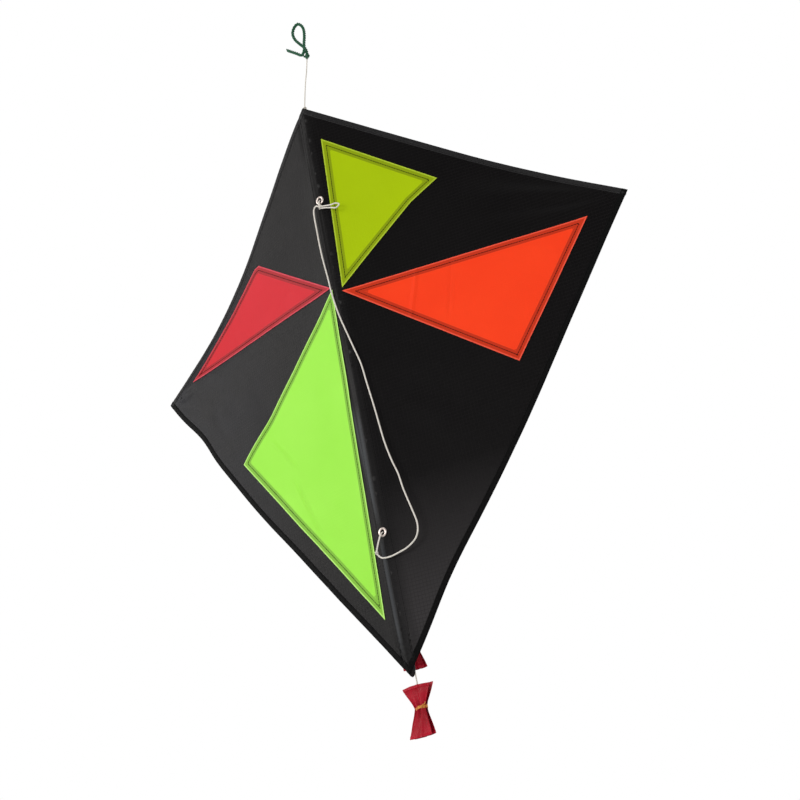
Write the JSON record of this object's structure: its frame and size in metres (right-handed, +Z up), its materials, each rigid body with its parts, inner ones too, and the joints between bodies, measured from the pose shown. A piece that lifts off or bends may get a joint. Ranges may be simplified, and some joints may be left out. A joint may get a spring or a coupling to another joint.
{
  "type": "diamond kite",
  "caption": "Diamond kite with a black sail, coloured window panels in a pinwheel, folding wings on a spine, a slack bridle, a hanging loop and a tail of ribbon bows.",
  "frame": {"origin": "the nose of the sail, on the spine rod's axis, where the hanging cord is tied", "axes": "+Z up along the spine, +X out towards the right wing as seen from the front, -Y is the front face with the bridle, the wings set back towards +Y"},
  "size_m": [0.7014, 0.1025, 0.9157],
  "materials": {
    "sail_cloth": "black nylon sail cloth, plain weave with a fine ripstop grid",
    "binding": "black folded binding tape, lockstitched",
    "pocket_cloth": "black nylon, doubled",
    "sleeve_cloth": "black nylon sleeve",
    "webbing": "black webbing",
    "panel_yellow": "yellow green nylon, lets light through",
    "panel_orange": "orange red nylon, lets light through",
    "panel_red": "crimson nylon, lets light through",
    "panel_green": "bright green nylon, lets light through",
    "rod": "pultruded glass fibre rod",
    "vinyl_cap": "soft black vinyl",
    "fitting": "moulded black nylon",
    "eyelet": "rolled eyelet, plated",
    "ring_steel": "wire ring",
    "white_cord": "off-white braided cord",
    "green_cord": "dark green twisted cord",
    "ribbon": "crimson satin ribbon, hemmed",
    "tie_cord": "orange yellow tie"
  },
  "bodies": {
    "frame": {"spine_rod": "rod", "spine_cap_nose": "vinyl_cap", "spine_cap_tail": "vinyl_cap", "spine_sleeve_upper": "sleeve_cloth", "spine_sleeve_lower": "sleeve_cloth", "nose_pocket": "pocket_cloth", "tail_pocket": "pocket_cloth", "collar_upper": "fitting", "collar_lower": "fitting", "socket_spacer": "fitting", "eyelet_upper": "eyelet", "eyelet_lower": "eyelet", "bridle_tie_upper": "white_cord", "bridle_knot_upper": "white_cord", "tow_loop": "white_cord", "bridle_line": "white_cord", "bridle_knot_lower": "white_cord", "bridle_tie_lower": "white_cord", "hanger_knot": "white_cord", "hanger_cord": "white_cord", "hang_loop_knot": "green_cord", "hang_loop": "green_cord", "tail_tab": "webbing"},
    "wing_left": {"sail_left": "sail_cloth", "panel_red": "panel_red", "panel_green": "panel_green", "hem_upper_left": "binding", "hem_lower_left": "binding", "tip_pocket_left": "pocket_cloth", "spar_left": "rod", "spar_cap_left": "vinyl_cap", "spar_socket_left": "fitting"},
    "wing_right": {"sail_right": "sail_cloth", "panel_yellow": "panel_yellow", "panel_orange": "panel_orange", "hem_upper_right": "binding", "hem_lower_right": "binding", "tip_pocket_right": "pocket_cloth", "spar_right": "rod", "spar_cap_right": "vinyl_cap", "spar_socket_right": "fitting"},
    "tail_hanger": {"tail_ring": "ring_steel"},
    "tail_first": {"tail_line_loop": "white_cord", "tail_line_upper": "white_cord", "tail_bow_upper": "ribbon", "tail_tie_upper": "tie_cord"},
    "tail_second": {"tail_line_lower": "white_cord", "tail_end_knot": "white_cord"},
    "tail_last_bow": {"tail_bow_lower": "ribbon", "tail_tie_lower": "tie_cord"}
  },
  "joints": [
    {"name": "wing_left_flex", "type": "hinge", "parent": "frame", "child": "wing_left", "pos_m": [0, 0, -0.252], "axis": [0, 0, -1], "range_deg": [-14, 18], "stiffness_Nm_per_rad": 0.15},
    {"name": "wing_right_flex", "type": "hinge", "parent": "frame", "child": "wing_right", "pos_m": [0, 0, -0.252], "axis": [0, 0, 1], "range_deg": [-14, 18], "stiffness_Nm_per_rad": 0.15},
    {"name": "tail_sway", "type": "hinge", "parent": "frame", "child": "tail_hanger", "pos_m": [-0.005, 0.014, -0.638], "axis": [0, 1, 0], "range_deg": [-30, 30]},
    {"name": "tail_swing", "type": "hinge", "parent": "tail_hanger", "child": "tail_first", "pos_m": [-0.005, 0.014, -0.65], "axis": [1, 0, 0], "range_deg": [0, 75]},
    {"name": "tail_bend", "type": "hinge", "parent": "tail_first", "child": "tail_second", "pos_m": [-0.005, 0.014, -0.722], "axis": [1, 0, 0], "range_deg": [-20, 60]},
    {"name": "last_bow_turn", "type": "hinge", "parent": "tail_second", "child": "tail_last_bow", "pos_m": [-0.005, 0.014, -0.754], "axis": [0, 0, 1], "continuous": true}
  ]
}
